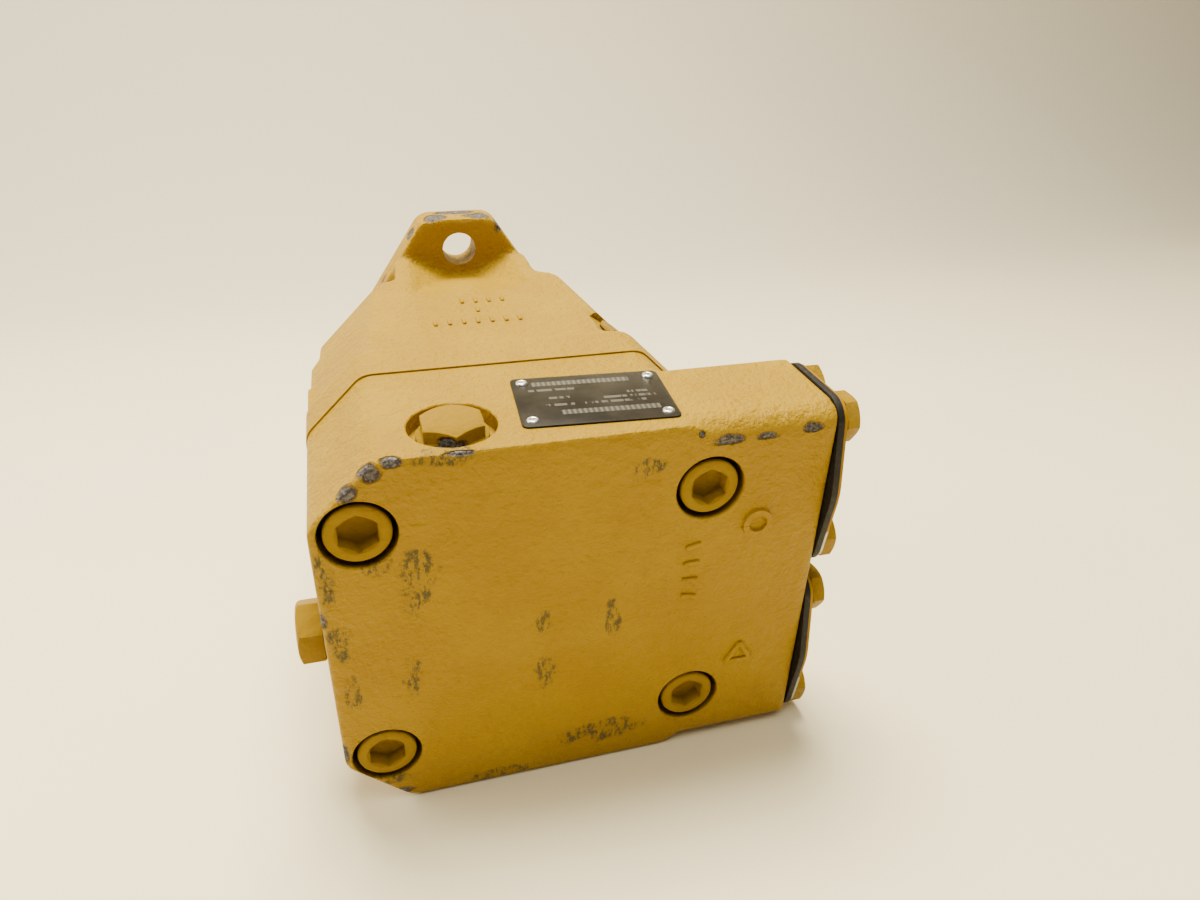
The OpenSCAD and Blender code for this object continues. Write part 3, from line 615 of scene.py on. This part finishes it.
def build_housing():
    side_x, top_z = CASE_X - SIDE_INSET, CASE_Z - 0.5
    body = to_object(prism(rectangle(side_x, top_z), HOUSING_Y, -FLANGE_T, "y"), "housing_casting")
    for side in (-1, 1):
        rib = [(-58, 60), (-58, 83.5), (-54, 84), (-FLANGE_T, 86.5), (-FLANGE_T, 60)]
        combine(body, prism([(y, side * z) for y, z in rib], -44, 44, "x"), "UNION")
    flank = [(side_x + 1, HOUSING_Y - 1), (side_x, -68), (78, -65.5), (77, -47), (45.5, -47), (36.6, -42),
             (35, -FLANGE_T + 1)]
    combine(body, prism(mirrored(flank), -110, 110), "INTERSECT")
    for sx in (-1, 1):
        for sz in (-1, 1):
            combine(body, half_space(Matrix.Translation((69.5 * sx, -130.5, 69.5 * sz))
                                     @ Matrix.Rotation(math.atan2(sx, sz), 4, "Y") @ spin(-4.45, "X")))
    for part in (prism(case_outline(CASE_X + 0.3, CASE_Z + 0.7), HOUSING_Y - 8, HOUSING_Y + REAR_FLANGE, "y"),
                 prism(rectangle(CASE_X, 56), HOUSING_Y - 4, -101, "y"),
                 lathe([(0, HOUSING_Y), (78, HOUSING_Y), (78, -76), (73.5, -60), (73, -FLANGE_T),
                        (0, -FLANGE_T)]),
                 prism(flange_outline(), -FLANGE_T, 6, "y")):
        combine(body, part, "UNION")
    for side in (-1, 1):
        combine(body, wrench_pocket(side))
    cast(body, 2.2)
    cuts = [prism(case_outline(CASE_X + 20, CASE_Z + 20), HOUSING_Y - 30, HOUSING_Y, "y"),
            prism(circle(130), 0, 30, "y"),
            lathe([(0, HOUSING_Y - 1), (CAVITY_R, HOUSING_Y - 1), (CAVITY_R, FRONT_WALL_Y), (36, FRONT_WALL_Y),
                   (36, -14), (22, -14), (22, 1), (0, 1)])]
    for cut in cuts:
        combine(body, cut)
    pilot = lathe([(SEAL_R, -4), (66, -4), (66, -0.3), (PILOT_R, -0.3), (PILOT_R, PILOT_LEN - 1.5),
                   (PILOT_R - 1.5, PILOT_LEN), (SEAL_R + 1, PILOT_LEN), (SEAL_R, PILOT_LEN - 1)], segments=144)
    combine(body, pilot, "UNION")
    combine(body, lathe([(0, -4), (SEAL_R, -4), (SEAL_R, 20), (0, 20)]))
    combine(body, lathe([(SEAL_R - 1, 8.3), (SEAL_R + 1.5, 8.3), (SEAL_R + 1.5, 10.3), (SEAL_R - 1, 10.3)]))
    for side in (-1, 1):
        combine(body, lathe([(0, -FLANGE_T - 5), (LUG_HOLE_R, -FLANGE_T - 5), (LUG_HOLE_R, 1), (0, 1)],
                            centre=(0, side * LUG_HOLE_Z)))
        for sx in (-1, 1):
            thread = circle(8, (sx * SCREW_X, side * SCREW_Z))
            combine(body, prism(thread, HOUSING_Y - 1, HOUSING_Y + 27, "y"))
    spot = lathe([(0, -40), (9, -40), (9, 0), (18, 0), (18, 25), (0, 25)], "z")
    spot.transform(drain_place())
    combine(body, spot)
    return piece(smooth_shading(body), "casting_paint", housing_paint, "housing")


def drain_place():
    return Matrix.Translation(DRAIN) @ Matrix.Rotation(DRAIN_TILT, 4, "Y")


# ---------- fasteners and plugs ----------


def hex_prism(flats, low, high, start=0.0):
    return prism(circle(flats / SQRT3, segments=6, start=start), low, high)


def hex_head(name, flats, low, high, start=0.0):
    """A hexagon head whose top corners are turned off at 30 degrees."""
    head = to_object(hex_prism(flats, low, high, start), name)
    corner, drop = flats / SQRT3, flats * 0.04
    crown = lathe([(0, low - 1), (corner + 2, low - 1), (corner + 2, high - drop - 1.1),
                   (flats * 0.47, high), (0, high)], "z")
    combine(head, crown, "INTERSECT")
    return head


def cap_screw(name, at):
    """A socket-head cap screw along +Y with its head in a counterbore."""
    top = SCREW_TOP
    screw = to_object(lathe([(0, top), (10.9, top), (11.6, top + 0.4), (12, top + 1.2), (12, top + 16),
                             (8, top + 16), (8, HOUSING_Y + 22), (7, HOUSING_Y + 23),
                             (0, HOUSING_Y + 23)]), name)
    bore = to_object(hex_prism(14, 0, 6.5, math.radians(30)), "socket")
    combine(bore, lathe([(0, 6), (6.6, 6), (6.6, 6.5), (0, 8)], "z", segments=48), "UNION")
    combine(bore, lathe([(0, -1), (9, -1), (8.1, 0.1), (7.0, 0.8), (0, 0.8)], "z", segments=48), "UNION")
    bore.data.transform(Matrix.Translation((0, top * MM, 0)) @ spin(-90, "X"))
    combine(screw, bore)
    screw.data.transform(Matrix.Translation((at[0] * MM, 0, at[1] * MM)))
    return screw


def join(objects, name):
    """Joins objects into one mesh object."""
    bm = bmesh.new()
    for obj in objects:
        obj.data.transform(obj.matrix_world)
        bm.from_mesh(obj.data)
        bpy.data.objects.remove(obj)
    mesh = bpy.data.meshes.new(name)
    bm.to_mesh(mesh)
    bm.free()
    joined = bpy.data.objects.new(name, mesh)
    bpy.context.scene.collection.objects.link(joined)
    return joined


def build_screws():
    screws = [cap_screw("screw", (sx * SCREW_X, sz * SCREW_Z)) for sx in (-1, 1) for sz in (-1, 1)]
    group = join(screws, "cap_screws")
    piece(soften(group, 0.25, 2, 30), "fastener_paint", screw_paint, "port_plate_screws")


def hex_plug(name, flats, head_h, collar_r, collar_t, stem_len):
    """A plug standing on z = 0, with a round collar under its hexagon."""
    head = hex_head(name, flats, collar_t - 0.1, head_h)
    combine(head, lathe([(0, 0), (collar_r - 0.5, 0), (collar_r, 0.4), (collar_r, collar_t - 0.5),
                         (collar_r - 0.7, collar_t), (0, collar_t)], "z", segments=64), "UNION")
    stem = lathe([(0, -stem_len), (8, -stem_len), (8.9, 1 - stem_len), (8.9, 0.1), (0, 0.1)], "z")
    combine(head, stem, "UNION")
    return head


def build_plugs():
    top = hex_plug("top_hex_plug", 22, 8, 13.5, 2.5, 13)
    top.data.transform(Matrix.Translation((TOP_PLUG - Vector((0, 0, SPOTFACE_DEPTH - 1))) * MM)
                       @ spin(-90, "Z"))
    piece(soften(top, 0.45), "fastener_paint", fastener_paint, "top_plug")
    side = hex_plug("side_hex_plug", 24, 11.5, 12.5, 1.5, 14)
    side.data.transform(Matrix.Translation((SIDE_PLUG - Vector((0.8, 0, 0))) * MM) @ spin(-90, "Y"))
    piece(soften(side, 0.6), "fastener_paint", fastener_paint, "side_plug")
    drain = to_object(lathe([(0, -13), (8, -13), (8.9, -12), (8.9, 0.9), (12, 0.9), (12, 2.4), (11.6, 2.8),
                             (0, 2.8)], "z"), "drain_socket_plug")
    combine(drain, hex_prism(10, -5, 6))
    drain.data.transform(Matrix.Scale(MM, 4) @ drain_place() @ Matrix.Scale(1 / MM, 4))
    piece(soften(drain, 0.3, 2), "fastener_paint", fastener_paint, "drain_plug")


# ---------- port covers ----------


def cover_outline(grow=0.0):
    corners = [(y, z, 10 + grow) for y in (-BOLT_Y, BOLT_Y) for z in (-BOLT_Z, BOLT_Z)]
    return hull_outline([(0, 0, 28 + grow)] + corners)


def build_cover(side, tag):
    """A rubber gasket, the sheet-steel cover on it and its four bolts."""
    face = PORT_FACE_X + GASKET_X
    layers = {"gasket": (PORT_FACE_X, face, 0.7, gasket_rubber, "gasket_rubber"),
              "cover": (face, face + COVER_X, 0.0, cover_plate_paint, "cover_plate_paint")}
    shift = Matrix.Translation((0, PORT_Y, PORT_Z[side]))
    holes = [(y, z) for y in (-BOLT_Y, BOLT_Y) for z in (-BOLT_Z, BOLT_Z)]
    for kind, (x0, x1, grow, material, slot) in layers.items():
        layer = to_object(prism(cover_outline(grow), x0, x1, "x"), f"{kind}_{tag}_shaped", shift)
        for y, z in holes:
            combine(layer, prism(circle(6.4, (PORT_Y + y, PORT_Z[side] + z)), x0 - 1, x1 + 1, "x"))
        if kind == "gasket":
            combine(layer, prism(circle(13, (PORT_Y, PORT_Z[side])), x0 - 1, x1 + 1, "x"))
        piece(soften(layer, 0.5 if kind == "gasket" else 0.3), slot, material, f"port_{kind}_{tag}")
    bolts = []
    for k, (y, z) in enumerate(holes):
        bolt = hex_head("bolt", 18, 0.5, 6.4, math.radians(13 + 17 * k))
        combine(bolt, lathe([(0, 0), (8.5, 0), (8.5, 0.6), (0, 0.6)], "z", segments=48), "UNION")
        combine(bolt, lathe([(0, -22), (5.2, -22), (6, -21), (6, 0.1), (0, 0.1)], "z", segments=48), "UNION")
        bolt.data.transform(Matrix.Translation(Vector((face + COVER_X, PORT_Y + y, PORT_Z[side] + z)) * MM)
                            @ spin(90, "Y"))
        bolts.append(bolt)
    piece(soften(join(bolts, f"bolts_{tag}_shaped"), 0.35, 2), "fastener_paint", fastener_paint,
          f"port_bolts_{tag}")


# ---------- nameplate and cast marks ----------


def nameplate_place(x=0.0, y=0.0, z=0.0):
    turned = Matrix.Translation(NAMEPLATE) @ Matrix.Rotation(NAMEPLATE_TURN, 4, "Z")
    return turned @ Matrix.Translation((x, y, z))


def build_nameplate():
    outline = round_rect(-30, 30, -20, 20, 2.5, 2.5)
    plate = to_object(prism(outline, 0, 0.8), "nameplate_plate", nameplate_place())
    piece(soften(plate, 0.15, 2), "nameplate_foil", foil, "nameplate")
    rivets = []
    for x in (-25.7, 25.7):
        for y in (-15.5, 15.5):
            ring = lathe([(0, 0), (2.4, 0), (2.35, 0.35), (1.95, 0.75), (1.5, 0.85), (1.15, 0.7),
                          (1.05, 0.2), (0, 0.2)], "z", segments=32)
            rivets.append(to_object(ring, "rivet", nameplate_place(x, y, 0.8)))
    piece(smooth_shading(join(rivets, "plate_rivets")), "rivet_steel", rivet_steel, "nameplate_rivets")


def raised_bar(name, place, length, width, height):
    """A raised cast mark: a low rounded bar centred on place, which maps z to the surface's normal."""
    outline = round_rect(-length / 2, length / 2, -width / 2, width / 2, width * 0.4, width * 0.4, 4)
    bar = to_object(prism(outline, -0.4, height), name, place)
    return soften(bar, height * 0.6, 3)


def build_marks():
    """Plain raised shapes in place of cast letters: a ring, an open triangle and rows of short bars."""
    rear = spin(90, "X")
    ring = lathe([(3.9, REAR_Y - 1.3), (6.3, REAR_Y - 1.3), (6.6, REAR_Y + 0.4), (3.6, REAR_Y + 0.4)],
                 centre=(88, 36), segments=48)
    marks = [to_object(ring, "mark")]
    for k in range(3):
        at = Matrix.Translation((88, REAR_Y, -35)) @ spin(120 * k, "Y")
        marks.append(raised_bar("mark", at @ Matrix.Translation((0, 0, -3.4)) @ rear, 12.5, 2.5, 1.3))
    for k in range(4):
        at = Matrix.Translation((61, REAR_Y, 29 - 8.5 * k)) @ spin(8 * k - 12, "Y")
        marks.append(raised_bar("mark", at @ rear, 7, 2.0, 1.0))
    for y, count, middle in ((-78, 4, 2), (-90, 1, -2), (-104, 7, -4)):
        for k in range(count):
            x = (k - (count - 1) / 2) * 6.5 + middle
            marks.append(raised_bar("mark", Matrix.Translation((x, y, CASE_Z - 0.5))
                                    @ spin(90, "Z"), 6, 1.8, 1.0))
    group = join(marks, "cast_marks")
    piece(smooth_shading(group), "casting_paint", housing_paint)


# ---------- shaft and inner parts ----------

CAD_MATERIALS = {
    "housing_gasket": gasket_rubber, "top_plug_o_ring": gasket_rubber, "side_plug_o_ring": gasket_rubber,
    "drain_plug_o_ring": gasket_rubber, "shaft_seal": seal_rubber, "shaft": shaft_steel,
    "seal_snap_ring": spring_steel, "block_snap_ring": spring_steel, "block_spring": spring_steel,
    "swash_plate": hardened_steel, "front_bearing_cup": hardened_steel, "rear_bearing_cup": hardened_steel,
    "front_bearing_cone": hardened_steel, "rear_bearing_cone": hardened_steel,
    "front_bearing_rollers": hardened_steel, "rear_bearing_rollers": hardened_steel,
    "guide_ball": hardened_steel, "valve_plate": bronze, "cylinder_sleeves": bronze, "slippers": bronze,
    "front_bearing_cage": bronze, "rear_bearing_cage": bronze, "cylinder_block": ground_steel,
    "retaining_plate": ground_steel, "push_pins": ground_steel, "spring_washers": ground_steel,
    "valve_plate_pin": ground_steel, "swash_dowel": ground_steel,
}
CAD_MATERIALS.update({f"piston_{k}": ground_steel for k in range(1, 10)})


def dress_cad_nodes():
    for name, material in CAD_MATERIALS.items():
        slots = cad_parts[name].data.materials
        slots.clear()
        slots.append(material)


# ---------- stage ----------


def floor_normal():
    """The motor rests on its rear bottom edge and on the back of its lower lug."""
    drop = (LUG_TOP - CASE_Z) / (-FLANGE_T - REAR_Y)
    return Vector((0, drop, 1)).normalized()


def build_stage():
    """A pale floor under the motor that curves up into a plain backdrop behind it."""
    normal = floor_normal()
    side = Vector((1, 0, 0))
    back = normal.cross(side)
    rest = Vector((0, REAR_Y, -CASE_Z)) * MM - normal * 0.0003
    bm = bmesh.new()
    run = [(-1.6, 0.0), (0.9, 0.0)]
    run += [(0.9 + 0.5 * math.sin(math.radians(a)), 0.5 - 0.5 * math.cos(math.radians(a)))
            for a in range(10, 91, 10)]
    run += [(1.4, 2.4)]
    rows = [[bm.verts.new(rest + side * x + back * d + normal * h) for x in (-3.0, 3.0)] for d, h in run]
    for a, b in zip(rows, rows[1:]):
        bm.faces.new((a[0], a[1], b[1], b[0]))
    mesh = bpy.data.meshes.new("floor")
    bm.to_mesh(mesh)
    bm.free()
    floor = bpy.data.objects.new("floor", mesh)
    bpy.context.scene.collection.objects.link(floor)
    smooth_shading(floor, 60)
    s = Shader("floor_paper")
    depth = s.add("ShaderNodeSeparateXYZ", {"Vector": s.place}).outputs["Y"]
    tone = s.mix(s.ramp(s.noise(300, 4, 0.5), 0.4, 0.7), (0.86, 0.76, 0.51, 1), (0.82, 0.73, 0.50, 1))
    tone = s.mix(s.ramp(depth, -0.2, 1.1), tone, (0.60, 0.545, 0.42, 1))
    floor.data.materials.append(s.finish(Base_Color=tone, Roughness=0.7, Specular_IOR_Level=0.2,
                                         Normal=s.bump(s.noise(3, 3, 0.5, seed=2.0), 0.15, 0.1)))


def build_lights():
    world = bpy.data.worlds.new("studio")
    bpy.context.scene.world = world
    world.use_nodes = True
    world.node_tree.nodes["Background"].inputs["Color"].default_value = (1.0, 0.94, 0.8, 1)
    world.node_tree.nodes["Background"].inputs["Strength"].default_value = 0.3
    for name, at, size, power, colour in (("overhead", (0.0, 0.35, 1.5), 0.9, 86, (1, 0.94, 0.78)),
                                          ("front", (0.1, -0.6, 1.5), 0.9, 12, (1, 0.94, 0.78)),
                                          ("left", (-1.4, 0.3, 0.9), 1.0, 30, (1, 0.94, 0.78))):
        data = bpy.data.lights.new(name, "AREA")
        data.shape, data.size, data.energy, data.color = "DISK", size, power, colour
        lamp = bpy.data.objects.new(name, data)
        lamp.location = at
        aim = Vector((0, -0.12, 0)) - Vector(at)
        lamp.rotation_euler = aim.to_track_quat("-Z", "Y").to_euler()
        bpy.context.scene.collection.objects.link(lamp)


def build_camera():
    """Level with the floor, about 35 cm from the rear face, looking down at it from behind."""
    forward = Vector((0.25362, 0.82471, -0.50551)).normalized()
    right = forward.cross(floor_normal()).normalized()
    up = right.cross(forward)
    data = bpy.data.cameras.new("camera")
    data.sensor_width, data.lens = 36.0, 25.93
    data.clip_start, data.clip_end = 0.01, 20
    camera = bpy.data.objects.new("camera", data)
    camera.matrix_world = Matrix.Translation((-0.0579, -0.4776, 0.2353)) @ Matrix((right, up, -forward)
                                                                                 ).transposed().to_4x4()
    bpy.context.scene.collection.objects.link(camera)
    bpy.context.scene.camera = camera


build_camera()
build_port_plate()
build_housing()
build_screws()
build_plugs()
build_cover(-1, "a")
build_cover(1, "b")
build_nameplate()
build_marks()
dress_cad_nodes()
build_stage()
build_lights()
